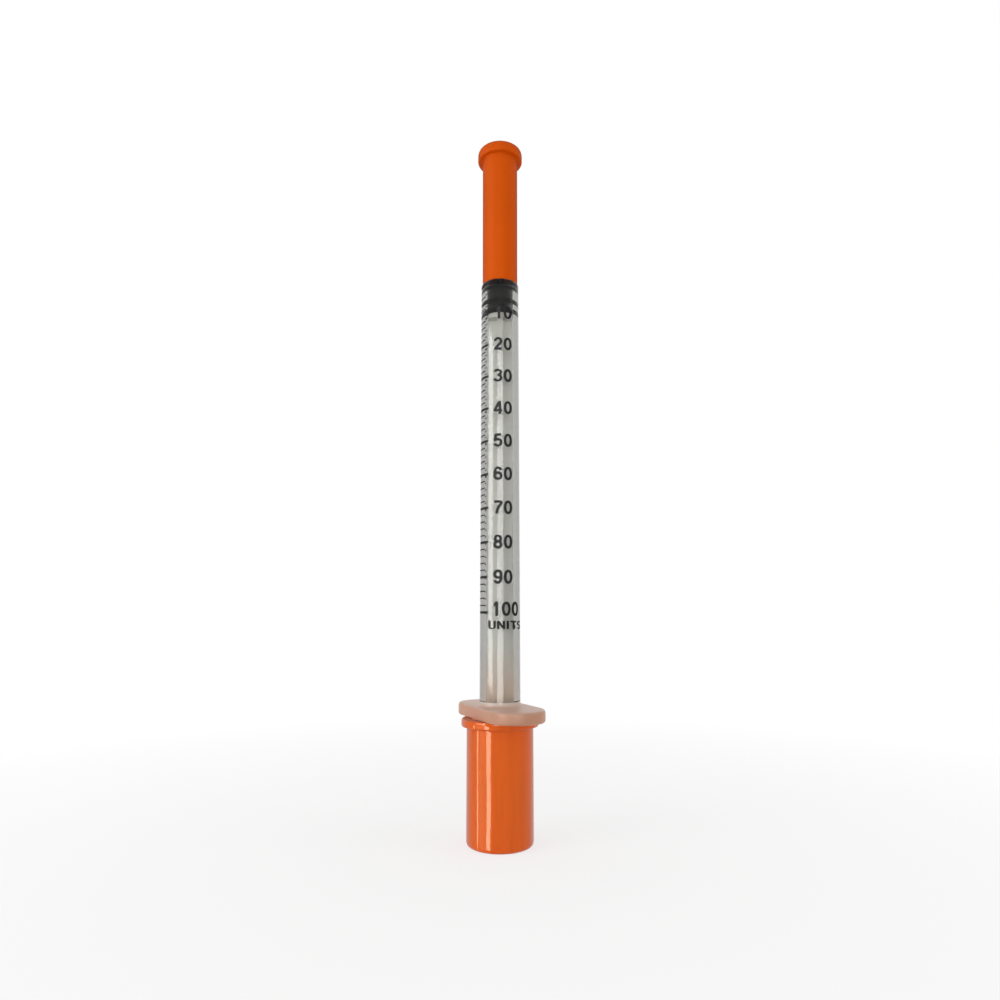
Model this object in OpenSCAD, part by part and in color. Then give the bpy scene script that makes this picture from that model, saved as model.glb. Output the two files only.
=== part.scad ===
// Fixed-needle insulin syringe, closed with its two caps and standing on the plunger cap.
// Millimetres, +Z towards the needle, origin at the centre of the closed end that it stands on.

/* [Scale] */
// Units held between the zero line and the full line
capacity_units = 100; // [50:10:100]
// Length of the scale from the zero line to the full line
scale_length = 57; // [45:1:70]
// Units between two lines
minor_units = 2; // [1:1:5]
// Units between two long lines
major_units = 10; // [10:10:20]
// Height of a long line
major_w = 0.4; // [0.25:0.05:0.6]
// Height of a short line
minor_w = 0.2; // [0.15:0.05:0.4]
// Thickness of the ink
ink_t = 0.03; // [0.02:0.01:0.06]
// Direction, seen from above, where every line ends on the left of the numerals
line_start_angle = -105; // [-180:1:0]
// How far round the barrel a long line runs
major_sweep = 44; // [36:1:70]
// How far round the barrel a short line runs
minor_sweep = 31; // [15:1:35]

/* [Barrel] */
// Bore of the barrel
bore_d = 4.73; // [4.4:0.01:4.9]
// Outside of the barrel
barrel_d = 6.6; // [6.2:0.1:7.4]
// Wall that closes the bore behind the nose
end_wall = 0.7; // [0.5:0.1:1.2]
// Distance from the flange to the full line
full_line_offset = 14.75; // [8:0.05:20]
// Chamfer round the barrel's shoulder
shoulder_chamfer = 0.25; // [0.1:0.05:0.4]
// Blend between the barrel and the flange
root_blend = 0.6; // [0.3:0.1:1]

/* [Finger flange] */
// Length of the flange over both wings
flange_length = 20.8; // [16:0.1:24]
// Width of the flange
flange_width = 9; // [7:0.5:11]
// Thickness of the flange
flange_t = 1.9; // [1.4:0.1:2.6]
// Bevel round the flange's edges
flange_bevel = 0.3; // [0.1:0.05:0.5]
// Outside of the collar below the flange, which holds the plunger cap
collar_d = 8.9; // [8:0.1:9.6]
// Length of that collar
collar_length = 5.5; // [4:0.5:7]
// Lead-in at the bore's mouth
mouth_lead = 0.5; // [0.2:0.1:1]

/* [Nose and needle] */
// Length of the nose in front of the shoulder
nose_length = 7; // [5:0.5:9]
// Diameter of the ring on which the shield grips
grip_d = 5; // [4.6:0.1:5.2]
// Length of that ring
grip_length = 2.2; // [1.5:0.1:3]
// Diameter of the nose just in front of the ring
nose_base_d = 4; // [3.4:0.1:4.4]
// Diameter of the nose at its tip
nose_tip_d = 2.6; // [2.2:0.1:3]
// Outside of the steel needle
needle_d = 0.34; // [0.25:0.01:0.42]
// Bore of the steel needle
needle_bore_d = 0.18; // [0.12:0.01:0.2]
// Length of needle in front of the nose
needle_exposed = 8; // [6:0.5:12.5]
// Length of needle held inside the nose
needle_held = 5; // [3.5:0.5:5]
// Angle between the needle's axis and its bevel
bevel_angle = 12; // [9:1:20]
// Channel between the bore and the needle
channel_d = 0.8; // [0.5:0.1:1.2]
// Mouth of the well that holds the adhesive
well_d = 1.5; // [1:0.1:1.8]
// Depth of that well
well_depth = 2; // [1:0.1:2.5]
// How far the bead of adhesive stands out of the well
bead_rise = 0.35; // [0.1:0.05:0.6]

/* [Needle shield] */
// Outside of the shield at its open end
shield_open_d = 6.2; // [5.8:0.1:6.6]
// Outside of the shield below its head
shield_closed_d = 6.36; // [5.8:0.02:6.8]
// Length of the shield with its head
shield_length = 26.6; // [24:0.1:32]
// Diameter of the shield's head
head_d = 8.1; // [7:0.1:9.5]
// Thickness of the head
head_t = 2.1; // [1.4:0.1:3]
// Round along the head's outer edge
head_round = 0.8; // [0.3:0.1:1.2]
// Chamfer under the head
head_chamfer = 0.2; // [0.1:0.05:0.4]
// Inside of the shield past the grip, where it starts
shield_bore_d = 4.8; // [4.2:0.1:5]
// Inside of the shield at its closed end
shield_bore_end_d = 4.2; // [3.6:0.1:4.6]

/* [Plunger] */
// Radius out to which the four ribs of the rod reach
rib_r = 2.2; // [1.9:0.05:2.2]
// Direction of one of the ribs, seen from above
rib_angle = -25; // [-90:1:90]
// Thickness of a rib
rib_t = 0.9; // [0.6:0.05:1.2]
// Diameter of the thumb disc
thumb_d = 8.7; // [7.5:0.1:8.8]
// Thickness of the thumb disc at its edge
thumb_t = 1.3; // [0.9:0.1:1.8]
// Distance from the cap's closed end to the thumb disc
thumb_gap = 0.3; // [0.2:0.1:1]
// Depth of the dish pressed into the thumb disc
dish_depth = 0.4; // [0.2:0.05:0.6]
// Length over which the rod flares into the thumb disc
flare_length = 2.4; // [1.5:0.1:4]
// Diameter of the round neck between the flare and the ribs
neck_d = 4.2; // [3.6:0.1:4.4]
// Length of that neck
neck_length = 6.5; // [4:0.5:9]
// Thickness of the round web behind the stopper
web_t = 0.8; // [0.5:0.1:1.2]
// Diameter of the stem that enters the stopper
stem_d = 1.5; // [1.2:0.1:1.8]
// Length of that stem
stem_length = 1.1; // [0.8:0.1:1.3]
// Diameter of the knob on the stem
knob_d = 2.4; // [2:0.1:2.8]
// Length of the knob's straight part
knob_length = 0.8; // [0.5:0.1:1]

/* [Stopper] */
// Length of the rubber stopper
stopper_length = 5.3; // [5:0.1:7]
// Height of one sealing ring
ring_h = 0.9; // [0.6:0.05:1]
// Distance from the stopper's back to the middle ring
middle_ring_offset = 1.8; // [1.5:0.1:2.2]
// Radius of the stopper between its rings
waist_r = 2.13; // [1.9:0.01:2.2]
// Chamfer on each ring
ring_chamfer = 0.12; // [0.05:0.01:0.2]

/* [Plunger cap] */
// Height of the cap
cap_height = 19; // [18.6:0.1:24]
// Outside of the cap at its closed end
cap_closed_d = 10.6; // [10.2:0.1:11.2]
// Outside of the cap below its rim
cap_open_d = 10.7; // [10.2:0.1:11.4]
// Outside of the cap's rim
cap_rim_d = 12.4; // [11.6:0.1:13.4]
// Thickness of that rim
cap_rim_t = 1.2; // [0.8:0.1:2]
// Wall across the closed end
cap_end_wall = 1; // [0.8:0.1:1.6]
// Round along the edge of the closed end
cap_round = 0.7; // [0.3:0.1:1]
// Chamfer on the rim's edges
rim_chamfer = 0.2; // [0.1:0.05:0.4]

/* [Fits] */
// Gap all round between each cap and the ring that it grips
cap_fit = 0.05; // [0.02:0.01:0.08]
// Gap between a cap's open end and the face that it meets
seat_gap = 0.05; // [0.02:0.01:0.2]
// Gap all round between the stopper's rings and the bore
ring_fit = 0.025; // [0.02:0.005:0.05]
// Gap all round between the knob and the stopper
knob_fit = 0.05; // [0.02:0.01:0.1]
// Gap all round between the needle, the adhesive and the nose
glue_fit = 0.01; // [0.01:0.005:0.02]

/* [Hidden] */
$fn = 64;
// Steps in a rounded edge
arc_steps = 6;
// How far a cut runs past the face that it opens
overrun = 0.1 * barrel_d;

barrel_r = barrel_d / 2;
bore_r = bore_d / 2;
collar_r = collar_d / 2;
needle_r = needle_d / 2;
grip_r = grip_d / 2;
unit_pitch = scale_length / capacity_units;

flange_z = cap_height + seat_gap;
collar_z = flange_z - collar_length;
flange_top_z = flange_z + flange_t;
full_z = flange_top_z + full_line_offset;
zero_z = full_z + scale_length;
shoulder_z = zero_z + end_wall;
nose_top_z = shoulder_z + nose_length;
needle_z = nose_top_z - needle_held;
needle_length = needle_held + needle_exposed;

shield_z = shoulder_z + seat_gap;
shield_top_z = shield_z + shield_length;
head_z = shield_top_z - head_t;

stopper_z = zero_z - stopper_length;
web_z = stopper_z - web_t;
thumb_z = cap_end_wall + thumb_gap;
flare_z = thumb_z + thumb_t;
neck_z = flare_z + flare_length;
ribs_z = neck_z + neck_length;
knob_cone = (knob_d - stem_d) / 2;
// Direction in which the flare's curve meets the thumb disc, where straight down is 270
flare_end_angle = 245;

// Points along a round edge, counted from one angle to another
function arc(centre, r, from, to) = [
    for (i = [0:arc_steps])
        let (a = from + (to - from) * i / arc_steps)
        centre + r * [cos(a), sin(a)]
];

// A plate with full round ends, lying along X
module round_ended(length, width) {
    square([length - width, width], center = true);
    for (side = [-1, 1])
        translate([side * (length - width) / 2, 0])
            circle(d = width);
}

// The same plate with a stepped bevel on its upper and lower edges
module flange_plate() {
    translate([0, 0, flange_bevel])
        linear_extrude(flange_t - 2 * flange_bevel)
            round_ended(flange_length, flange_width);
    linear_extrude(flange_t)
        round_ended(flange_length - 2 * flange_bevel, flange_width - 2 * flange_bevel);
}

// Outside of the tube, from the collar's mouth to the tip of the nose
module barrel_outside() {
    rotate_extrude()
        polygon([
            [0, collar_z],
            [collar_r - shoulder_chamfer, collar_z],
            [collar_r, collar_z + shoulder_chamfer],
            [collar_r, flange_z],
            [collar_r, flange_top_z],
            [barrel_r + root_blend, flange_top_z],
            each arc([barrel_r + root_blend, flange_top_z + root_blend], root_blend, 270, 180),
            [barrel_r, shoulder_z - shoulder_chamfer],
            [barrel_r - shoulder_chamfer, shoulder_z],
            [grip_r, shoulder_z],
            [grip_r, shoulder_z + grip_length - shoulder_chamfer],
            [grip_r - shoulder_chamfer, shoulder_z + grip_length],
            [nose_base_d / 2, shoulder_z + grip_length],
            [nose_tip_d / 2, nose_top_z - shoulder_chamfer],
            [nose_tip_d / 2 - shoulder_chamfer, nose_top_z],
            [0, nose_top_z]
        ]);
}

module barrel() {
    color([0.82, 0.83, 0.8, 0.45])
        difference() {
            union() {
                barrel_outside();
                translate([0, 0, flange_z])
                    flange_plate();
            }
            translate([0, 0, collar_z - overrun])
                cylinder(r = bore_r, h = zero_z - collar_z + overrun);
            translate([0, 0, collar_z])
                cylinder(r1 = bore_r + mouth_lead, r2 = bore_r, h = mouth_lead);
            translate([0, 0, zero_z - overrun])
                cylinder(d = channel_d, h = needle_z - zero_z + overrun);
            translate([0, 0, needle_z - overrun])
                cylinder(r = needle_r + glue_fit, h = needle_held + 2 * overrun);
            translate([0, 0, nose_top_z - well_depth])
                cylinder(r1 = needle_r + glue_fit, r2 = well_d / 2, h = well_depth);
        }
}

// One printed line, centred on its height, running round from the common start
module scale_line(z, sweep, height) {
    rotate([0, 0, line_start_angle])
        rotate_extrude(angle = sweep)
            translate([barrel_r + glue_fit, z - height / 2])
                square([ink_t, height]);
}

module scale_marks() {
    color([0.06, 0.06, 0.06])
        for (u = [0:minor_units:capacity_units])
            if (u % major_units == 0)
                scale_line(zero_z - u * unit_pitch, major_sweep, major_w);
            else
                scale_line(zero_z - u * unit_pitch, minor_sweep, minor_w);
}

module needle() {
    color([0.75, 0.77, 0.8])
        translate([0, 0, needle_z])
            difference() {
                cylinder(r = needle_r, h = needle_length);
                translate([0, 0, -overrun])
                    cylinder(d = needle_bore_d, h = needle_length + 2 * overrun);
                bevel_cut();
            }
}

// Everything in front of the slanting plane that gives the needle its point
module bevel_cut() {
    translate([-needle_r, 0, needle_length])
        rotate([0, 90 - bevel_angle, 0])
            translate([0, -needle_d, 0])
                cube([needle_length, 2 * needle_d, needle_d]);
}

// Adhesive that fills the well round the needle and stands out of it in a low bead
module needle_adhesive() {
    color([0.78, 0.72, 0.55, 0.7])
        translate([0, 0, nose_top_z])
            rotate_extrude()
                polygon([
                    [needle_r + glue_fit, -well_depth + 3 * glue_fit],
                    [well_d / 2 - glue_fit, 0],
                    [well_d / 4, bead_rise * 3 / 4],
                    [needle_r + glue_fit, bead_rise]
                ]);
}

module needle_shield() {
    color([0.83, 0.34, 0.1])
        rotate_extrude()
            polygon([
                [grip_r + cap_fit, shield_z],
                [shield_open_d / 2, shield_z],
                [shield_closed_d / 2, head_z],
                [head_d / 2 - head_chamfer, head_z],
                [head_d / 2, head_z + head_chamfer],
                each arc([head_d / 2 - head_round, shield_top_z - head_round], head_round, 0, 90),
                [0, shield_top_z],
                [0, head_z],
                [shield_bore_end_d / 2, head_z],
                [shield_bore_d / 2, shield_z + 2 * grip_length],
                [grip_r + cap_fit, shield_z + grip_length + cap_fit]
            ]);
}

// The two sides of one sealing ring, seen in half section
function ring_points(z) = [
    [waist_r, z],
    [bore_r - ring_fit, z + ring_chamfer],
    [bore_r - ring_fit, z + ring_h - ring_chamfer],
    [waist_r, z + ring_h]
];

module stopper() {
    color([0.12, 0.12, 0.12])
        translate([0, 0, stopper_z])
            rotate_extrude()
                polygon([
                    [stem_d / 2 + knob_fit, 0],
                    each ring_points(0),
                    each ring_points(middle_ring_offset),
                    each ring_points(stopper_length - ring_h),
                    [0, stopper_length],
                    [0, stem_length + knob_length + knob_cone + knob_fit],
                    [stem_d / 2 + knob_fit, stem_length + knob_length + knob_cone + knob_fit],
                    [knob_d / 2 + knob_fit, stem_length + knob_length + knob_fit],
                    [knob_d / 2 + knob_fit, stem_length - knob_fit],
                    [stem_d / 2 + knob_fit, stem_length - knob_fit]
                ]);
}

// Revolved ends of the rod: dished thumb disc, flare and neck below, web and knob above
module rod_foot() {
    rotate_extrude()
        polygon([
            [0, thumb_z + dish_depth],
            [thumb_d / 4, thumb_z + dish_depth * 3 / 4],
            [thumb_d / 2 - rib_t, thumb_z],
            [thumb_d / 2 - dish_depth, thumb_z],
            [thumb_d / 2, thumb_z + dish_depth],
            [thumb_d / 2, flare_z - dish_depth],
            [thumb_d / 2 - dish_depth, flare_z],
            each arc([neck_d / 2 + flare_length, neck_z], flare_length, flare_end_angle, 180),
            [neck_d / 2, ribs_z],
            [0, ribs_z]
        ]);
}

module rod_head() {
    rotate_extrude()
        polygon([
            [0, web_z],
            [rib_r, web_z],
            [rib_r, stopper_z],
            [stem_d / 2, stopper_z],
            [stem_d / 2, stopper_z + stem_length],
            [knob_d / 2, stopper_z + stem_length],
            [knob_d / 2, stopper_z + stem_length + knob_length],
            [stem_d / 2, stopper_z + stem_length + knob_length + knob_cone],
            [0, stopper_z + stem_length + knob_length + knob_cone]
        ]);
}

module plunger_rod() {
    color([0.8, 0.8, 0.76, 0.8])
        union() {
            rod_foot();
            translate([0, 0, ribs_z - neck_length / 2])
                linear_extrude(web_z - ribs_z + neck_length / 2 + web_t / 2)
                    intersection() {
                        circle(r = rib_r);
                        rotate(rib_angle) {
                            square([2 * rib_r, rib_t], center = true);
                            square([rib_t, 2 * rib_r], center = true);
                        }
                    }
            rod_head();
        }
}

module plunger_cap() {
    color([0.87, 0.38, 0.12])
        rotate_extrude()
            polygon([
                [0, 0],
                each arc([cap_closed_d / 2 - cap_round, cap_round], cap_round, 270, 360),
                [cap_open_d / 2, cap_height - cap_rim_t],
                [cap_rim_d / 2 - rim_chamfer, cap_height - cap_rim_t],
                [cap_rim_d / 2, cap_height - cap_rim_t + rim_chamfer],
                [cap_rim_d / 2, cap_height - rim_chamfer],
                [cap_rim_d / 2 - rim_chamfer, cap_height],
                [collar_r + cap_fit + rim_chamfer, cap_height],
                [collar_r + cap_fit, cap_height - rim_chamfer],
                [collar_r + cap_fit, cap_end_wall],
                [0, cap_end_wall]
            ]);
}

barrel();
scale_marks();
needle();
needle_adhesive();
needle_shield();
stopper();
plunger_rod();
plunger_cap();
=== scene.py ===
# %% [markdown]
# An insulin syringe, capped at both ends and standing on its plunger cap. The construction comes from a
# imported frame: pieces, joints and sizes are settled there. This lesson adds what makes it look real, which
# is clear plastic that bends light, numerals that wrap round the barrel, and rubber that wets the bore.
# First the frame is loaded.

# %% Load the frame
import math

import bpy
import numpy as np
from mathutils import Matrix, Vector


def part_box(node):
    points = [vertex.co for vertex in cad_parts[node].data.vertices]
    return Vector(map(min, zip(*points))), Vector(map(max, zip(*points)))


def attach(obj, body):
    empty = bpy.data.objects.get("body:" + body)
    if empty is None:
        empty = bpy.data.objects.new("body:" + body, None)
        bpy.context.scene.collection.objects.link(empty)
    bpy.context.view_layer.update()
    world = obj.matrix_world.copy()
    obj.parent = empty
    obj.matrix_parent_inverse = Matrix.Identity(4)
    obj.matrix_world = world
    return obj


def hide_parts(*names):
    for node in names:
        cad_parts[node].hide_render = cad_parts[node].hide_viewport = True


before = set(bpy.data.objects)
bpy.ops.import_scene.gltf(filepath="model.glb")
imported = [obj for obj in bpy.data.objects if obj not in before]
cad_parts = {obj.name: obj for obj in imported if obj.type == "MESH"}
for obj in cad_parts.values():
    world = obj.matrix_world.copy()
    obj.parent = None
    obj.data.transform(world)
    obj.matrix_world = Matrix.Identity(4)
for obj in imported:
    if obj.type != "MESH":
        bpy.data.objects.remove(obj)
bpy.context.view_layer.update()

# %% [markdown]
# The camera stands close, about a hand's breadth from the syringe and low down, so it sees the finger
# flange from slightly above and the needle shield from below. The turn about the long axis shows the
# scale, with one wing of the flange coming forward on the right. A camera turned by Euler angles needs no
# target object.

# %% Camera
MM = 0.001
VIEW_AZIMUTH = math.radians(65)
FOCAL_PIXELS = 691
PHOTO_PIXELS = 1000
SENSOR_MM = 36
CAMERA_DISTANCE = 115.5 * MM
CAMERA_HEIGHT = 34.2 * MM
CAMERA_PITCH = math.radians(10)
NEAREST_SEEN = 5 * MM
FACING = VIEW_AZIMUTH - math.pi / 2

camera_data = bpy.data.cameras.new("camera")
camera_data.sensor_width = SENSOR_MM
camera_data.lens = FOCAL_PIXELS / PHOTO_PIXELS * SENSOR_MM
camera_data.clip_start = NEAREST_SEEN
camera = bpy.data.objects.new("camera", camera_data)
camera.location = (
    CAMERA_DISTANCE * math.cos(FACING),
    CAMERA_DISTANCE * math.sin(FACING),
    CAMERA_HEIGHT,
)
camera.rotation_euler = (math.pi / 2 + CAMERA_PITCH, 0, VIEW_AZIMUTH)
bpy.context.scene.collection.objects.link(camera)
bpy.context.scene.camera = camera
bpy.context.scene.view_settings.view_transform = "Standard"
print("lens", round(camera_data.lens, 2), "mm")

# %% [markdown]
# Most later sizes hang on heights that the frame already fixes. A node's box gives its lowest and highest
# corner, so the levels of the flange, the scale and the shoulder are read and not typed again.

# %% Levels read from the frame
barrel_low, barrel_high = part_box("barrel")
cap_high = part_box("plunger_cap")[1]
shield_low, shield_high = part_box("needle_shield")
marks_low, marks_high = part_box("scale_marks")
stopper_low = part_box("stopper")[0]
line_height = 0.4 * MM
zero_z = marks_high[2] - line_height / 2
full_z = marks_low[2] + line_height / 2
units = 100
unit_pitch = (zero_z - full_z) / units
seat_gap = 0.05 * MM
flange_z = cap_high[2] + seat_gap
shoulder_z = shield_low[2] - seat_gap
print("scale from", round(full_z / MM, 2), "to", round(zero_z / MM, 2), "mm")

# %% [markdown]
# Moulded parts have no knife edges. A helper takes the corners of a half section with a setback for each
# one, and swaps every corner for a short Bezier curve that leaves along one side and arrives along the
# other. All corners are worked out together as one array.

# %% Half sections with rounded corners
CORNER_STEPS = 5
SAME_POINT = 1e-7


def rounded(corners, closed):
    """Rows (radius, height, setback, share) to a smooth half section with the same columns but the setback.

    Corner P with neighbours A and B becomes the curve (1-s)^2 P1 + 2 s (1-s) P + s^2 P2, where P1 and P2 lie
    one setback from P towards A and towards B. The share column is carried along in the same way.
    """
    rows = np.array(corners, float)
    points = rows[:, [0, 1, 3]]
    before = np.roll(points, 1, axis=0)
    after = np.roll(points, -1, axis=0)
    s = np.linspace(0, 1, CORNER_STEPS + 1)[None, :, None]

    def step_towards(other):
        way = other - points
        length = np.maximum(np.linalg.norm(way[:, :2], axis=1), SAME_POINT)
        return points + way * (np.minimum(rows[:, 2], length / 2) / length)[:, None]

    first, last = step_towards(before), step_towards(after)
    if not closed:
        first[[0, -1]] = last[[0, -1]] = points[[0, -1]]
    curve = (1 - s) ** 2 * first[:, None] + 2 * s * (1 - s) * points[:, None] + s**2 * last[:, None]
    curve = curve.reshape(-1, 3)
    moved = np.linalg.norm(np.diff(curve[:, :2], axis=0), axis=1) > SAME_POINT
    return curve[np.r_[True, moved]]


# %% [markdown]
# A turned shape is a grid: one parameter runs round the axis, the other along the half section. Rows that
# lie on the axis shrink to one point, which closes the pole with triangles. A reach, given for each
# direction, lets the flange's rows leave the circle and follow the outline of two wings.

# %% Turned surfaces
COLUMNS = 192
SHARP_EDGE = math.radians(38)
AXIS_RADIUS = 1e-9


def new_piece(name, vertices, faces, body, replaced, slot):
    """A smooth-shaded mesh object in the frame, riding on a body and standing for a CAD node."""
    mesh = bpy.data.meshes.new(name)
    mesh.from_pydata(vertices, [], faces)
    mesh.polygons.foreach_set("use_smooth", np.ones(len(mesh.polygons), bool))
    mesh.set_sharp_from_angle(angle=SHARP_EDGE)
    mesh.update()
    piece = bpy.data.objects.new(name, mesh)
    bpy.context.scene.collection.objects.link(piece)
    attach(piece, body)
    if replaced:
        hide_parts(replaced)
    print(name, len(vertices), "points")
    return piece


def turned(section, closed, reach=None):
    """Vertices and faces of a half section carried round +Z.

    Point (i, j) has radius section[i].radius - section[i].share * (longest reach - reach[j]) and turns
    through angle j. Neighbouring rows are joined by quads, and a row on the axis by a fan of triangles.
    """
    angle = np.arange(COLUMNS) * 2 * math.pi / COLUMNS
    shorter = 0 if reach is None else (reach.max() - reach)[None, :]
    radius = section[:, :1] - section[:, 2:3] * shorter
    radius = radius * np.ones((1, COLUMNS))
    grid = np.stack(
        [radius * np.cos(angle), radius * np.sin(angle), section[:, 1:2] * np.ones((1, COLUMNS))], axis=2
    )
    on_axis = section[:, 0] < AXIS_RADIUS
    rows = grid[~on_axis]
    count = len(rows)
    index = np.arange(count * COLUMNS).reshape(count, COLUMNS)
    low = index if closed else index[:-1]
    high = np.roll(index, -1, axis=0) if closed else index[1:]
    quads = np.stack([low, np.roll(low, -1, axis=1), np.roll(high, -1, axis=1), high], axis=2)
    faces = quads.reshape(-1, 4).tolist()
    vertices = rows.reshape(-1, 3).tolist()
    if on_axis[0]:
        pole = np.full(COLUMNS, len(vertices))
        faces += np.stack([pole, np.roll(index[0], -1), index[0]], axis=1).tolist()
        vertices.append([0.0, 0.0, float(section[0, 1])])
    if on_axis[-1]:
        pole = np.full(COLUMNS, len(vertices))
        faces += np.stack([index[-1], np.roll(index[-1], -1), pole], axis=1).tolist()
        vertices.append([0.0, 0.0, float(section[-1, 1])])
    return vertices, faces


# %% [markdown]
# The barrel is one clear moulding: tube, nose, collar and finger flange. Two glass meshes that overlap
# would show a false surface between them, so it is made as one closed grid. The flange's outline is that
# of a plate with full round ends, written as the distance from the axis to the edge in every direction.

# %% Barrel
bore_radius = 2.365 * MM
barrel_radius = 3.3 * MM
collar_radius = 4.45 * MM
flange_half_length = barrel_high[0]
flange_half_width = barrel_high[1]
flange_top_z = flange_z + 1.9 * MM
nose_top_z = barrel_high[2]
needle_radius = 0.18 * MM
well_radius = 0.75 * MM
well_depth = 2 * MM
channel_radius = 0.4 * MM
held_z = nose_top_z - 5 * MM
grip_radius = 2.5 * MM
grip_top_z = shoulder_z + 2.2 * MM
WING_STEP = 0.005 * MM


def wing_reach(angle):
    """Distance from the axis to the edge of a plate with round ends and a round hub.

    The long side gives half width / |sin|. Past it, the end circle around (c, 0) gives
    c |cos| + sqrt(half width^2 - c^2 sin^2). Where the hub is wider, its radius holds.
    """
    centre = flange_half_length - flange_half_width
    across = np.abs(np.sin(angle))
    along = np.abs(np.cos(angle))
    side = flange_half_width / np.maximum(across, AXIS_RADIUS)
    end = centre * along + np.sqrt(np.maximum(flange_half_width**2 - (centre * across) ** 2, 0))
    return np.maximum(np.where(side * along < centre, side, end), collar_radius + WING_STEP)


barrel_section = rounded(
    [
        (bore_radius + 0.5 * MM, barrel_low[2], 0.1 * MM, 0),
        (collar_radius, barrel_low[2], 0.3 * MM, 0),
        (collar_radius, flange_z, 0.04 * MM, 0),
        (flange_half_length, flange_z, 0.5 * MM, 1),
        (flange_half_length, flange_top_z, 0.6 * MM, 1),
        (barrel_radius, flange_top_z, 0.7 * MM, 0),
        (barrel_radius, shoulder_z, 0.3 * MM, 0),
        (grip_radius, shoulder_z, 0.05 * MM, 0),
        (grip_radius, grip_top_z, 0.2 * MM, 0),
        (2 * MM, grip_top_z, 0.15 * MM, 0),
        (1.3 * MM, nose_top_z, 0.2 * MM, 0),
        (well_radius, nose_top_z, 0.08 * MM, 0),
        (needle_radius, nose_top_z - well_depth, 0, 0),
        (needle_radius, held_z, 0, 0),
        (channel_radius, held_z, 0, 0),
        (channel_radius, zero_z, 0.1 * MM, 0),
        (bore_radius, zero_z, 0.15 * MM, 0),
        (bore_radius, barrel_low[2] + 0.5 * MM, 0.1 * MM, 0),
    ],
    closed=True,
)
column_angles = np.arange(COLUMNS) * 2 * math.pi / COLUMNS
barrel = new_piece(
    "clear_barrel",
    *turned(barrel_section, True, wing_reach(column_angles)),
    "barrel",
    "barrel",
    "clear_plastic",
)

# %% [markdown]
# Both caps are thin orange shells, open at one end. The needle shield is long and slim with a mushroom
# head, the plunger cap is wide with a rim at its mouth. Each is one half section from the axis, round the
# mouth and back to the axis. The shield's starts on its inside and the cap's on its outside.

# %% Needle shield and plunger cap
head_height = 2.1 * MM
head_z = shield_high[2] - head_height
shield_section = rounded(
    [
        (0, head_z, 0, 0),
        (2.1 * MM, head_z, 0.3 * MM, 0),
        (2.4 * MM, shield_low[2] + 4.4 * MM, 0.3 * MM, 0),
        (2.55 * MM, shield_low[2] + 2.25 * MM, 0.1 * MM, 0),
        (2.55 * MM, shield_low[2], 0.1 * MM, 0),
        (3.1 * MM, shield_low[2], 0.15 * MM, 0),
        (3.18 * MM, head_z, 0.25 * MM, 0),
        (shield_high[0], head_z, 0.3 * MM, 0),
        (shield_high[0], shield_high[2], 0.9 * MM, 0),
        (2.2 * MM, shield_high[2], 0.3 * MM, 0),
        (1.6 * MM, shield_high[2] - 0.12 * MM, 0.3 * MM, 0),
        (0, shield_high[2] - 0.12 * MM, 0, 0),
    ],
    closed=False,
)
shield = new_piece(
    "orange_needle_shield", *turned(shield_section, False), "needle_shield", "needle_shield", "shield_orange"
)

rim_height = 1.2 * MM
cap_inner = 4.5 * MM
cap_section = rounded(
    [
        (0, 0.12 * MM, 0, 0),
        (3.6 * MM, 0.12 * MM, 0.2 * MM, 0),
        (3.9 * MM, 0, 0.2 * MM, 0),
        (5.3 * MM, 0, 0.75 * MM, 0),
        (5.35 * MM, cap_high[2] - rim_height, 0.3 * MM, 0),
        (cap_high[0], cap_high[2] - rim_height, 0.3 * MM, 0),
        (cap_high[0], cap_high[2], 0.3 * MM, 0),
        (cap_inner, cap_high[2], 0.2 * MM, 0),
        (cap_inner, 1 * MM, 0.4 * MM, 0),
        (0, 1 * MM, 0, 0),
    ],
    closed=False,
)
plunger_cap = new_piece(
    "orange_plunger_cap", *turned(cap_section, False), "plunger_cap", "plunger_cap", "cap_orange"
)

# %% [markdown]
# Rubber squeezed into a bore touches the wall in rings. Where it touches there is no air, so the black
# fills the barrel to its full width, while the waists between the rings keep their own size. The rings
# here reach a few hundredths of a millimetre into the wall, which gives that look without any trick in the
# material.

# %% Stopper
ring_bite = 0.025 * MM
ring_radius = bore_radius + ring_bite
waist_radius = 2.27 * MM
ring_height = 0.9 * MM
ring_round = 0.14 * MM
front_slope = 0.1 * MM
ring_bottoms = [stopper_low[2], stopper_low[2] + 1.8 * MM, zero_z - ring_height]


def ring(z):
    """Half section of one sealing ring, from its lower waist to its upper waist."""
    return [
        (waist_radius, z, 0.05 * MM, 0),
        (ring_radius, z, ring_round, 0),
        (ring_radius, z + ring_height, ring_round, 0),
        (waist_radius, z + ring_height, 0.05 * MM, 0),
    ]


knob_top_z = stopper_low[2] + 2.4 * MM
stopper_section = rounded(
    [
        (0, knob_top_z, 0, 0),
        (0.8 * MM, knob_top_z, 0.1 * MM, 0),
        (1.25 * MM, stopper_low[2] + 1.95 * MM, 0.1 * MM, 0),
        (1.25 * MM, stopper_low[2] + 1.05 * MM, 0.05 * MM, 0),
        (0.8 * MM, stopper_low[2] + 1.05 * MM, 0.05 * MM, 0),
        (0.8 * MM, stopper_low[2], 0.05 * MM, 0),
        *[row for z in ring_bottoms for row in ring(z)][:-2],
        (ring_radius, zero_z - front_slope, ring_round, 0),
        (0.6 * MM, zero_z + 0.02 * MM, 0.2 * MM, 0),
        (0, zero_z + 0.02 * MM, 0, 0),
    ],
    closed=False,
)
stopper = new_piece("rubber_stopper", *turned(stopper_section, False), "plunger", "stopper", "rubber")

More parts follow.
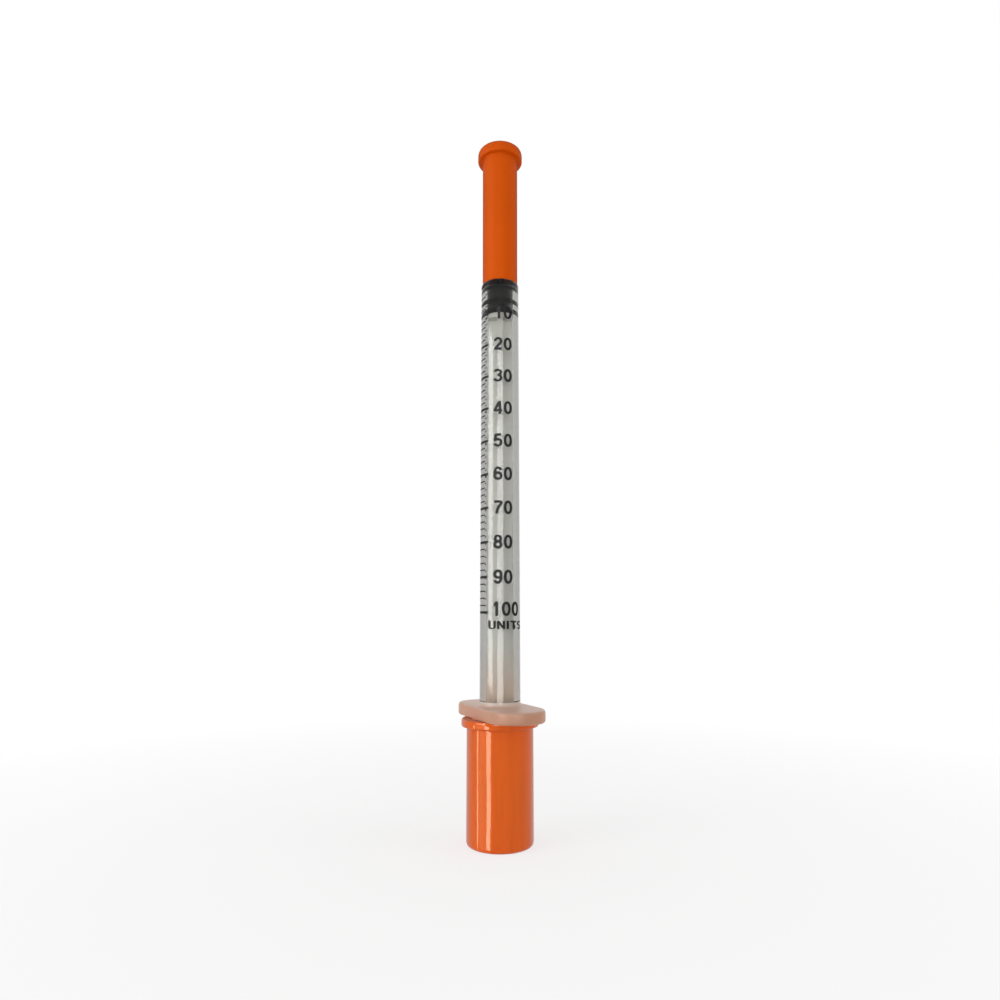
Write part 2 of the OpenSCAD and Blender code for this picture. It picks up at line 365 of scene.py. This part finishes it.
# %% [markdown]
# The scale is screen printed in narrow upright figures. The lines are part of the frame, and the numerals
# are drawn here as strokes: each figure is a few bows and straights along the middle of the pen's track,
# in a cell one high and 0.6 wide, where y goes up. A bow is part of an ellipse, given by its centre, its
# two radii and the two directions between which it runs.

# %% Figures as strokes
CELL_WIDTH = 0.6
CELL_MIDDLE = 0.3
NARROW_WIDTH = 0.25
PEN = 0.185
EDGE = PEN / 2
TOP = 1 - EDGE
RIGHT = 0.515
BOW_STEPS = 20


def bow(x, y, across, up, start, stop):
    """Points (x + across cos t, y + up sin t) for t from start to stop in degrees."""
    t = np.radians(np.linspace(start, stop, BOW_STEPS))
    return np.stack([x + across * np.cos(t), y + up * np.sin(t)], axis=1)


def straight(*corners):
    """A straight stroke through its corners, cut into short lengths so that it can bend round the barrel."""
    corners = np.array(corners, float)
    pieces = [np.linspace(a, b, BOW_STEPS // 2, endpoint=False) for a, b in zip(corners, corners[1:])]
    return np.vstack([*pieces, corners[-1:]])


def joined(*strokes):
    """Strokes that follow one another without lifting the pen."""
    return np.vstack(strokes)


six = [bow(0.3, 0.32, 0.215, 0.235, 0, 360), bow(0.32, 0.47, 0.235, 0.445, 180, 38)]
figures = {
    "0": [bow(0.3, 0.5, 0.215, 0.415, 0, 360)],
    "1": [straight((0.36, 0), (0.36, 1)), bow(0.13, 0.98, 0.2, 0.22, -90, -8)],
    "2": [
        joined(
            bow(0.3, 0.68, 0.205, 0.235, 175, -25),
            straight((0.44, 0.52), (0.09, EDGE), (0.56, EDGE)),
        )
    ],
    "3": [bow(0.28, 0.71, 0.2, 0.205, 165, -95), bow(0.28, 0.295, 0.225, 0.21, 95, -165)],
    "4": [straight((0.4, 0.95), (0.07, 0.27), (0.59, 0.27)), straight((0.42, 0), (0.42, 1))],
    "5": [joined(straight((0.52, TOP), (0.16, TOP), (0.1, 0.47)), bow(0.29, 0.33, 0.22, 0.245, 135, -160))],
    "6": six,
    "7": [joined(straight((0.05, TOP), (0.54, TOP)), bow(0.75, 0.03, 0.52, 0.8, 118, 180))],
    "8": [bow(0.3, 0.715, 0.185, 0.2, 0, 360), bow(0.3, 0.295, 0.215, 0.21, 0, 360)],
    "9": [(CELL_WIDTH, 1) - stroke for stroke in six],
    "U": [
        joined(
            straight((EDGE, 1), (EDGE, 0.3)),
            bow(0.3, 0.3, 0.215, 0.215, 180, 360),
            straight((RIGHT, 0.3), (RIGHT, 1)),
        )
    ],
    "N": [
        straight((EDGE, 0), (EDGE, 1)),
        straight((EDGE, 0.95), (RIGHT, 0.05)),
        straight((RIGHT, 0), (RIGHT, 1)),
    ],
    "I": [straight((NARROW_WIDTH / 2, 0), (NARROW_WIDTH / 2, 1))],
    "T": [straight((0, TOP), (CELL_WIDTH, TOP)), straight((CELL_MIDDLE, 0), (CELL_MIDDLE, 1))],
    "S": [bow(0.3, 0.705, 0.2, 0.21, 25, 265), bow(0.3, 0.295, 0.215, 0.21, 95, -155)],
}
print("figures", "".join(figures))

# %% [markdown]
# A stroke gets its width from the normals of its track, and becomes a closed thin band: an outer face, an
# inner face and two sides. A word is its figures side by side, stretched to the printed size and wrapped
# on the barrel by turning x into an angle.

# %% Ink on the barrel
INK_HEIGHT = 0.03 * MM
INK_LIFT = 0.006 * MM
FIGURE_GAP = 0.08


def ribbon(track):
    """The two edges of a stroke: track + n PEN/2 and track - n PEN/2, with n the track's unit normal."""
    along = np.gradient(track, axis=0)
    if np.allclose(track[0], track[-1]):
        along[0] = along[-1] = track[1] - track[-2]
    normal = np.stack([-along[:, 1], along[:, 0]], axis=1)
    normal /= np.linalg.norm(normal, axis=1)[:, None]
    return track + normal * EDGE, track - normal * EDGE


def wrapped(edge, height, middle, stretch, turn, z, depth):
    """Points of an edge on the barrel.

    The angle is turn + (x - middle) height stretch / radius, and the level is z + (y - 1/2) height.
    """
    radius = barrel_radius + INK_LIFT + depth
    angle = FACING + turn + (edge[:, 0] - middle) * height * stretch / barrel_radius
    level = z + (edge[:, 1] - 0.5) * height
    return np.stack([radius * np.cos(angle), radius * np.sin(angle), level], axis=1)


def printed(words, height, stretch, turn, z):
    """Vertices and faces of a word in ink, one closed band of four rows for each stroke."""
    widths = [NARROW_WIDTH if letter == "I" else CELL_WIDTH for letter in words]
    places = np.cumsum([0, *widths]) + FIGURE_GAP * np.arange(len(words) + 1)
    middle = (places[-1] - FIGURE_GAP) / 2
    vertices, faces = [], []
    for place, letter in zip(places, words):
        for stroke in figures[letter]:
            left, right = ribbon(stroke + (place, 0))
            rows = [(left, 0), (left, INK_HEIGHT), (right, INK_HEIGHT), (right, 0)]
            around = np.array(
                [wrapped(edge, height, middle, stretch, turn, z, depth) for edge, depth in rows]
            )
            count = len(stroke)
            index = len(vertices) + np.arange(4 * count).reshape(4, count)
            over = np.roll(index, -1, axis=0)
            band = np.stack([index[:, :-1], over[:, :-1], over[:, 1:], index[:, 1:]], axis=2)
            faces += band.reshape(-1, 4).tolist()
            faces += [index[:, 0].tolist(), index[::-1, -1].tolist()]
            vertices += around.reshape(-1, 3).tolist()
    return vertices, faces


# %% [markdown]
# Each number stands level with its line. The last one moves up and to the side, as on the real print, to
# make room for the word below it. The word is lower and wider, and reaches further round the tube.

# %% Numerals
DIGIT_HEIGHT = 2.3 * MM
DIGIT_STRETCH = 1.1
DIGITS_CENTRE = math.radians(9)
LAST_CENTRE = math.radians(18)
LAST_RISE = 0.57 * MM
WORD_HEIGHT = 1.35 * MM
WORD_STRETCH = 1.62
WORD_DROP = 2 * MM
WORD_CENTRE = math.radians(22)
TENS = range(10, units, 10)

labels = [(str(n), DIGIT_HEIGHT, DIGIT_STRETCH, DIGITS_CENTRE, zero_z - n * unit_pitch) for n in TENS]
labels.append((str(units), DIGIT_HEIGHT, DIGIT_STRETCH, LAST_CENTRE, full_z + LAST_RISE))
labels.append(("UNITS", WORD_HEIGHT, WORD_STRETCH, WORD_CENTRE, full_z - WORD_DROP))
ink_vertices, ink_faces = [], []
for label in labels:
    points, sides = printed(*label)
    ink_faces += [[corner + len(ink_vertices) for corner in side] for side in sides]
    ink_vertices += points
numerals = new_piece("numerals", ink_vertices, ink_faces, "barrel", None, "ink")

# %% [markdown]
# Moulded plastic is never one flat colour: the melt cools unevenly and the tool leaves a faint grain. Two
# node groups hold these effects, so each material sets only its own amounts. One drifts a colour lighter
# and darker over a few millimetres, the other gives a roughness with fine scuffs and a height for a Bump
# node.

# %% Helpers for node groups
def new_group(name, inputs, outputs):
    """An empty shader node group with named sockets, its tree and its two end nodes."""
    tree = bpy.data.node_groups.new(name, "ShaderNodeTree")
    for socket, kind in inputs:
        tree.interface.new_socket(socket, in_out="INPUT", socket_type=kind)
    for socket, kind in outputs:
        tree.interface.new_socket(socket, in_out="OUTPUT", socket_type=kind)
    return tree, tree.nodes.new("NodeGroupInput"), tree.nodes.new("NodeGroupOutput")


def noise_on_object(tree, start, scale, detail):
    """A noise texture on object coordinates times Stretch, with its scale from a group input too."""
    coordinates = tree.nodes.new("ShaderNodeTexCoord")
    drawn = tree.nodes.new("ShaderNodeVectorMath")
    drawn.operation = "MULTIPLY"
    noise = tree.nodes.new("ShaderNodeTexNoise")
    noise.inputs["Detail"].default_value = detail
    tree.links.new(coordinates.outputs["Object"], drawn.inputs[0])
    tree.links.new(start.outputs["Stretch"], drawn.inputs[1])
    tree.links.new(drawn.outputs[0], noise.inputs["Vector"])
    tree.links.new(start.outputs[scale], noise.inputs["Scale"])
    return noise


# %% [markdown]
# The drift multiplies the colour by a slow noise around 1. The noise node gives values around one half, so
# it is doubled and lowered by 1 before the Spread scales it.

# %% Tone drift
def make_tone_drift():
    """Colour times a factor that wanders between 1 - Spread and 1 + Spread."""
    tree, start, end = new_group(
        "tone_drift",
        [
            ("Color", "NodeSocketColor"),
            ("Spread", "NodeSocketFloat"),
            ("Scale", "NodeSocketFloat"),
            ("Stretch", "NodeSocketVector"),
        ],
        [("Color", "NodeSocketColor")],
    )
    noise = noise_on_object(tree, start, "Scale", 3)
    centred = tree.nodes.new("ShaderNodeMath")
    centred.operation = "MULTIPLY_ADD"
    centred.inputs[1].default_value = 2
    centred.inputs[2].default_value = -1
    factor = tree.nodes.new("ShaderNodeMath")
    factor.operation = "MULTIPLY_ADD"
    factor.inputs[2].default_value = 1
    scaled = tree.nodes.new("ShaderNodeVectorMath")
    scaled.operation = "SCALE"
    tree.links.new(noise.outputs["Fac"], centred.inputs[0])
    tree.links.new(centred.outputs[0], factor.inputs[0])
    tree.links.new(start.outputs["Spread"], factor.inputs[1])
    tree.links.new(start.outputs["Color"], scaled.inputs[0])
    tree.links.new(factor.outputs[0], scaled.inputs["Scale"])
    tree.links.new(scaled.outputs[0], end.inputs["Color"])
    return tree


tone_drift = make_tone_drift()
print("group", tone_drift.name)

# %% [markdown]
# The skin wears unevenly: a middle-sized noise makes some patches glossier than others, and a much finer
# one is the grain that the mould left. The Bump node stays in the material, because only the material
# knows how deep its grain is.

# %% Moulded skin
def make_moulded_skin():
    """Roughness = Base + Spread * (noise - 0.5), and Height from a finer noise."""
    tree, start, end = new_group(
        "moulded_skin",
        [
            ("Base", "NodeSocketFloat"),
            ("Spread", "NodeSocketFloat"),
            ("Scale", "NodeSocketFloat"),
            ("Grain Scale", "NodeSocketFloat"),
            ("Stretch", "NodeSocketVector"),
        ],
        [("Roughness", "NodeSocketFloat"), ("Height", "NodeSocketFloat")],
    )
    patches = noise_on_object(tree, start, "Scale", 5)
    grain = noise_on_object(tree, start, "Grain Scale", 2)
    centred = tree.nodes.new("ShaderNodeMath")
    centred.operation = "SUBTRACT"
    centred.inputs[1].default_value = 0.5
    rough = tree.nodes.new("ShaderNodeMath")
    rough.operation = "MULTIPLY_ADD"
    tree.links.new(patches.outputs["Fac"], centred.inputs[0])
    tree.links.new(centred.outputs[0], rough.inputs[0])
    tree.links.new(start.outputs["Spread"], rough.inputs[1])
    tree.links.new(start.outputs["Base"], rough.inputs[2])
    tree.links.new(rough.outputs[0], end.inputs["Roughness"])
    tree.links.new(grain.outputs["Fac"], end.inputs["Height"])
    return tree


moulded_skin = make_moulded_skin()
print("group", moulded_skin.name)

# %% [markdown]
# A material is a Principled shader fed by the two groups. What is the same all over, such as transmission,
# coat or index of refraction, is set on the shader's own sockets, and only what changes comes through
# nodes.

# %% Material helper
def placed_group(material, tree, values):
    """The group as a node in the material, with its input values set."""
    node = material.node_tree.nodes.new("ShaderNodeGroup")
    node.node_tree = tree
    node.name = tree.name
    for socket, value in values.items():
        node.inputs[socket].default_value = value
    return node


EVEN = (1, 1, 1)
DRAWN_UP = (1, 1, 0.08)


def plastic(name, color, drift, rough, grain, bump, constants, stretch=EVEN):
    """A Principled material: drifting colour, scuffed roughness, fine grain, and constant sockets."""
    material = bpy.data.materials.new(name)
    material.use_nodes = True
    nodes, links = material.node_tree.nodes, material.node_tree.links
    shader = nodes["Principled BSDF"]
    tone = placed_group(
        material,
        tone_drift,
        {"Color": (*color, 1), "Spread": drift[0], "Scale": drift[1], "Stretch": stretch},
    )
    skin = placed_group(
        material,
        moulded_skin,
        {"Base": rough[0], "Spread": rough[1], "Scale": rough[2], "Grain Scale": grain, "Stretch": stretch},
    )
    relief = nodes.new("ShaderNodeBump")
    relief.inputs["Strength"].default_value = bump[0]
    relief.inputs["Distance"].default_value = bump[1]
    links.new(tone.outputs["Color"], shader.inputs["Base Color"])
    links.new(skin.outputs["Roughness"], shader.inputs["Roughness"])
    links.new(skin.outputs["Height"], relief.inputs["Height"])
    links.new(relief.outputs["Normal"], shader.inputs["Normal"])
    for socket, value in constants.items():
        shader.inputs[socket].default_value = value
    return material


# %% [markdown]
# The caps' colour is painted darker where the eye grazes them, as painted shade on their rounded sides.
# Layer Weight gives how far the surface turns away, and it stays in the material, because the export
# can't read it inside a group.

# %% Painted edge shade and dressing
EDGE_POWER = 2.5


def darker_at_the_edge(material, edge_shade):
    """Painted shade on the rounded sides: mixes the colour towards a shade colour by (1 - cosine of the view
    angle) to the power EDGE_POWER.
    """
    nodes, links = material.node_tree.nodes, material.node_tree.links
    facing = nodes.new("ShaderNodeLayerWeight")
    steeper = nodes.new("ShaderNodeMath")
    steeper.operation = "POWER"
    steeper.inputs[1].default_value = EDGE_POWER
    mix = nodes.new("ShaderNodeMix")
    mix.data_type = "RGBA"
    mix.inputs["B"].default_value = (*edge_shade, 1)
    base = nodes["Principled BSDF"].inputs["Base Color"]
    links.new(facing.outputs["Facing"], steeper.inputs[0])
    links.new(steeper.outputs[0], mix.inputs["Factor"])
    links.new(base.links[0].from_socket, mix.inputs["A"])
    links.new(mix.outputs["Result"], base)


def dress(piece, material):
    """Gives a piece or a CAD node one material."""
    piece.data.materials.clear()
    piece.data.materials.append(material)
    print(piece.name, "wears", material.name)


# %% [markdown]
# The barrel is clear with a grey cast. Light that leaves it has crossed the wall twice, so absorption
# inside darkens the long paths near its edges, which is what draws the two sides of a real tube. The
# flange is thick and milky, so its faces have a satin material of their own that lets less light pass.
# The orange that the cap below shines through it is painted into its colour as a painted glow, and a ramp
# on the height carries that glow a little way up the foot of the tube. The flange's top face sits partway
# up the ramp, so it is painted lighter than the sides, as a painted highlight.

# %% Clear and milky plastic
CLEAR = (0.88, 0.88, 0.86)
# The next two colours are a painted orange glow from the cap below: on the foot of the tube, and over the
# milky flange.
PAINTED_ORANGE_GLOW = (0.92, 0.8, 0.72)
MILKY_WITH_PAINTED_GLOW = (0.82, 0.42, 0.27)
PAINTED_GLOW_START = -0.35 * MM
PAINTED_GLOW_RISE = 10 * MM
PAINTED_GLOW_SHARE = 0.09
MILKY_RISE = 0.75 * MM
CLEAR_ROUGHNESS = 0.05
MILKY_ROUGHNESS = 0.38
MILKY_TRANSMISSION = 0.3
WALL_TONE = (0.5, 0.5, 0.49, 1)
WALL_DENSITY = 650


def see_through(name, rough, transmission):
    """Clear plastic with absorption inside, whose colour by height paints an orange glow and highlight at
    the flange.
    """
    material = plastic(
        name,
        CLEAR,
        (0.03, 300),
        (rough, 0.01, 500),
        4000,
        (0.03, 0.01 * MM),
        {"IOR": 1.49, "Specular Tint": (0.3, 0.3, 0.3, 1), "Transmission Weight": transmission},
    )
    nodes, links = material.node_tree.nodes, material.node_tree.links
    absorb = nodes.new("ShaderNodeVolumeAbsorption")
    absorb.inputs["Color"].default_value = WALL_TONE
    absorb.inputs["Density"].default_value = WALL_DENSITY
    place = nodes.new("ShaderNodeTexCoord")
    split = nodes.new("ShaderNodeSeparateXYZ")
    rise = nodes.new("ShaderNodeMapRange")
    rise.inputs["From Min"].default_value = flange_top_z + PAINTED_GLOW_START
    rise.inputs["From Max"].default_value = flange_top_z + PAINTED_GLOW_RISE
    # This ramp on the height paints the orange glow on the flange and the foot of the tube, and lights the
    # flange's top face as a painted highlight.
    tint = nodes.new("ShaderNodeValToRGB")
    tint.color_ramp.elements[0].color = (*MILKY_WITH_PAINTED_GLOW, 1)
    tint.color_ramp.elements[1].color = (*CLEAR, 1)
    tint.color_ramp.elements.new(PAINTED_GLOW_SHARE).color = (*PAINTED_ORANGE_GLOW, 1)
    links.new(absorb.outputs["Volume"], nodes["Material Output"].inputs["Volume"])
    links.new(place.outputs["Object"], split.inputs[0])
    links.new(split.outputs["Z"], rise.inputs["Value"])
    links.new(rise.outputs["Result"], tint.inputs["Fac"])
    links.new(tint.outputs["Color"], nodes[tone_drift.name].inputs["Color"])
    return material


dress(barrel, see_through("clear_plastic", CLEAR_ROUGHNESS, 1))
barrel.data.materials.append(see_through("milky_plastic", MILKY_ROUGHNESS, MILKY_TRANSMISSION))
centres = np.empty(3 * len(barrel.data.polygons))
barrel.data.polygons.foreach_get("center", centres)
milky_faces = (centres[2::3] < flange_top_z + MILKY_RISE).astype(np.int32)
barrel.data.polygons.foreach_set("material_index", milky_faces)
print("milky faces", int(milky_faces.sum()), "of", len(milky_faces))

# %% [markdown]
# The two caps are nearly the same orange, but not the same finish. The shield is matt and even. The
# plunger cap is glossy, and its colour and grain are drawn out along its length, so its highlights break
# into long streaks. A tint on the reflections keeps the orange deep in a white surround. The cap's coat
# follows the same grain.

# %% Orange plastics
shield_orange = plastic(
    "shield_orange",
    (0.76, 0.1, 0.003),
    (0.06, 120),
    (0.5, 0.08, 700),
    3500,
    (0.15, 0.02 * MM),
    {
        "IOR": 1.5,
        "Specular IOR Level": 0.06,
        "Specular Tint": (1, 0.4, 0.1, 1),
        "Subsurface Weight": 0.15,
        "Subsurface Radius": (0.9, 0.25, 0.08),
        "Subsurface Scale": 0.8 * MM,
    },
)
# Painted shade on the shield's rounded sides.
darker_at_the_edge(shield_orange, (0.16, 0.03, 0.004))
dress(shield, shield_orange)
cap_orange = plastic(
    "cap_orange",
    (0.86, 0.135, 0.004),
    (0.14, 900),
    (0.3, 0.08, 500),
    700,
    (0.35, 0.06 * MM),
    {
        "IOR": 1.5,
        "Specular IOR Level": 0.1,
        "Specular Tint": (1, 0.4, 0.1, 1),
        "Coat Weight": 0.35,
        "Coat Roughness": 0.05,
        "Subsurface Weight": 0.2,
        "Subsurface Radius": (0.9, 0.3, 0.08),
        "Subsurface Scale": 1.0 * MM,
    },
    DRAWN_UP,
)
cap_nodes, cap_links = cap_orange.node_tree.nodes, cap_orange.node_tree.links
cap_links.new(cap_nodes["Bump"].outputs["Normal"], cap_nodes["Principled BSDF"].inputs["Coat Normal"])
# Painted shade on the cap's rounded sides.
darker_at_the_edge(cap_orange, (0.25, 0.04, 0.004))
dress(plunger_cap, cap_orange)

# %% [markdown]
# Rubber and ink are both near black with little shine, and differ in their grain. The lines of the scale
# are the frame's own solids, and only get a material here. So do the rod, the needle and its resin below.

# %% Rubber and ink
rubber = plastic(
    "rubber",
    (0.008, 0.008, 0.008),
    (0.2, 600),
    (0.45, 0.15, 900),
    5000,
    (0.2, 0.02 * MM),
    {"IOR": 1.5, "Specular IOR Level": 0.1},
)
dress(stopper, rubber)
ink_black = plastic(
    "ink_black",
    (0.006, 0.006, 0.006),
    (0.3, 2500),
    (0.5, 0.2, 2500),
    9000,
    (0.2, 0.005 * MM),
    {"IOR": 1.5, "Specular IOR Level": 0.1},
)
dress(numerals, ink_black)
dress(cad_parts["scale_marks"], ink_black)

# %% [markdown]
# The rod is a natural, slightly translucent white. The needle is plain grey steel, and the bead of resin
# that holds it is a pale amber that lets some light through.

# %% Rod, needle and resin
rod_plastic = plastic(
    "rod_plastic",
    (0.78, 0.78, 0.75),
    (0.05, 200),
    (0.35, 0.05, 500),
    2000,
    (0.05, 0.02 * MM),
    {
        "IOR": 1.5,
        "Subsurface Weight": 0.2,
        "Subsurface Radius": (0.6, 0.6, 0.5),
        "Subsurface Scale": 0.8 * MM,
    },
    DRAWN_UP,
)
dress(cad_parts["plunger_rod"], rod_plastic)
steel = plastic(
    "needle_steel",
    (0.3, 0.31, 0.33),
    (0.05, 900),
    (0.3, 0.1, 3000),
    9000,
    (0.1, 0.002 * MM),
    {"Metallic": 1.0},
)
dress(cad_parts["needle"], steel)
resin = plastic(
    "resin",
    (0.75, 0.66, 0.42),
    (0.08, 900),
    (0.15, 0.05, 900),
    4000,
    (0.1, 0.01 * MM),
    {"Transmission Weight": 0.6, "IOR": 1.55},
)
dress(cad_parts["needle_adhesive"], resin)

# %% [markdown]
# The setting is a white floor that runs on without a seam into a white surround. Seen directly or through
# the clear plastic, both are white, and a mirrored ray meets the white surround. Light that falls on the
# object comes from a dimmer surround and two soft lamps, so no colour is washed out. A value made from
# Light Path tells the two kinds of ray apart.

# %% Directly seen rays
def plainly_seen(tree):
    """A value of 1 on camera, glossy and transmission rays and 0 on the rest."""
    path = tree.nodes.new("ShaderNodeLightPath")
    total = tree.nodes.new("ShaderNodeMath")
    total.operation = "MAXIMUM"
    every = tree.nodes.new("ShaderNodeMath")
    every.operation = "MAXIMUM"
    tree.links.new(path.outputs["Is Camera Ray"], total.inputs[0])
    tree.links.new(path.outputs["Is Glossy Ray"], total.inputs[1])
    tree.links.new(total.outputs[0], every.inputs[0])
    tree.links.new(path.outputs["Is Transmission Ray"], every.inputs[1])
    return every.outputs[0]


# %% [markdown]
# The floor is a round plate. Close to the object it keeps its share of shading, and further out it fades
# to plain white. It is hidden from mirrored rays, so that highlight strips can stand below it.

# %% Floor
FLOOR_RADIUS = 1.2
FLOOR_SIDES = 96
SHADOW_SHARE = 0.3
SHADOW_REACH = 0.15

turn = np.arange(FLOOR_SIDES) * 2 * math.pi / FLOOR_SIDES
rim = np.stack([FLOOR_RADIUS * np.cos(turn), FLOOR_RADIUS * np.sin(turn), 0 * turn], axis=1)
floor_mesh = bpy.data.meshes.new("floor")
floor_mesh.from_pydata(rim.tolist(), [], [list(range(FLOOR_SIDES))])
floor = bpy.data.objects.new("floor", floor_mesh)
bpy.context.scene.collection.objects.link(floor)
floor_white = bpy.data.materials.new("floor_white")
floor_white.use_nodes = True
floor_tree = floor_white.node_tree
floor_tree.nodes.clear()
matt = floor_tree.nodes.new("ShaderNodeBsdfDiffuse")
matt.inputs["Color"].default_value = (0.95, 0.95, 0.95, 1)
glow = floor_tree.nodes.new("ShaderNodeEmission")
share = floor_tree.nodes.new("ShaderNodeMath")
share.operation = "MULTIPLY"
spot = floor_tree.nodes.new("ShaderNodeTexCoord")
away = floor_tree.nodes.new("ShaderNodeVectorMath")
away.operation = "LENGTH"
fade = floor_tree.nodes.new("ShaderNodeMapRange")
fade.inputs["From Max"].default_value = SHADOW_REACH
fade.inputs["To Min"].default_value = 1 - SHADOW_SHARE
fade.inputs["To Max"].default_value = 1
floor_tree.links.new(spot.outputs["Object"], away.inputs[0])
floor_tree.links.new(away.outputs["Value"], fade.inputs["Value"])
floor_tree.links.new(fade.outputs["Result"], share.inputs[1])
mixed = floor_tree.nodes.new("ShaderNodeMixShader")
floor_end = floor_tree.nodes.new("ShaderNodeOutputMaterial")
floor_tree.links.new(plainly_seen(floor_tree), share.inputs[0])
floor_tree.links.new(share.outputs[0], mixed.inputs["Fac"])
floor_tree.links.new(matt.outputs[0], mixed.inputs[1])
floor_tree.links.new(glow.outputs[0], mixed.inputs[2])
floor_tree.links.new(mixed.outputs[0], floor_end.inputs["Surface"])
floor.data.materials.append(floor_white)
floor.visible_glossy = False
print("floor of", FLOOR_RADIUS, "m, shadow to", SHADOW_REACH, "m")

# %% [markdown]
# The surround is as white as the floor to the eye and dimmer as a light, so the orange isn't bleached.

# %% Surround
SURROUND_LIGHT = 0.55

world = bpy.data.worlds.new("surround")
bpy.context.scene.world = world
world.use_nodes = True
world_tree = world.node_tree
background = world_tree.nodes["Background"]
background.inputs["Color"].default_value = (1, 1, 1, 1)
level = world_tree.nodes.new("ShaderNodeMapRange")
level.inputs["To Min"].default_value = SURROUND_LIGHT
level.inputs["To Max"].default_value = 1
world_tree.links.new(plainly_seen(world_tree), level.inputs["Value"])
world_tree.links.new(level.outputs["Result"], background.inputs["Strength"])
print("surround light", SURROUND_LIGHT)

# %% [markdown]
# Two broad lamps light the object, the stronger one from the left. The rest are strips that draw the long
# highlights down the cap and the tube. They show in reflections only, so they can be bright without
# bleaching the orange. The camera looks down at the cap and mostly up at the tube, so the cap mirrors what
# lies below it and the tube what lies above, and each has strips of its own.

# %% Lamps
def lamp(name, turn, distance, low, high, width, power):
    """An upright area lamp from one height to another, at a turn from the camera's side, facing the axis."""
    data = bpy.data.lights.new(name, "AREA")
    data.shape = "RECTANGLE"
    data.size = width
    data.size_y = high - low
    data.energy = power
    unit = bpy.data.objects.new(name, data)
    angle = FACING + turn
    unit.location = (distance * math.cos(angle), distance * math.sin(angle), (low + high) / 2)
    unit.rotation_euler = (math.pi / 2, 0, angle + math.pi / 2)
    bpy.context.scene.collection.objects.link(unit)
    print(name, "at", round(math.degrees(turn)), "degrees,", power, "W")
    return unit


lamp("key_lamp", math.radians(-60), 0.5, 0.05, 0.35, 0.3, 0.85)
lamp("fill_lamp", math.radians(75), 0.6, 0.1, 0.45, 0.35, 0.65)
WARM = (1, 0.82, 0.6)
WHITE = (1, 1, 1)
STRIP_DISTANCE = 0.4
strips = [
    ("cap_streak", -39, -0.25, -0.025, 0.1, 1.5, WARM),
    ("cap_side_streak", -82, -0.25, -0.025, 0.04, 0.45, WARM),
    ("cap_glow", -52, -0.25, -0.025, 0.34, 0.6, WARM),
    ("tube_streak", -57, 0, 0.3, 0.2, 3.4, WHITE),
    ("tube_middle_streak", 2, 0, 0.3, 0.26, 3.9, WHITE),
]
for name, turn, low, high, width, power, color in strips:
    strip = lamp(name, math.radians(turn), STRIP_DISTANCE, low, high, width, power)
    strip.data.color = color
    strip.visible_diffuse = False
    strip.visible_transmission = False
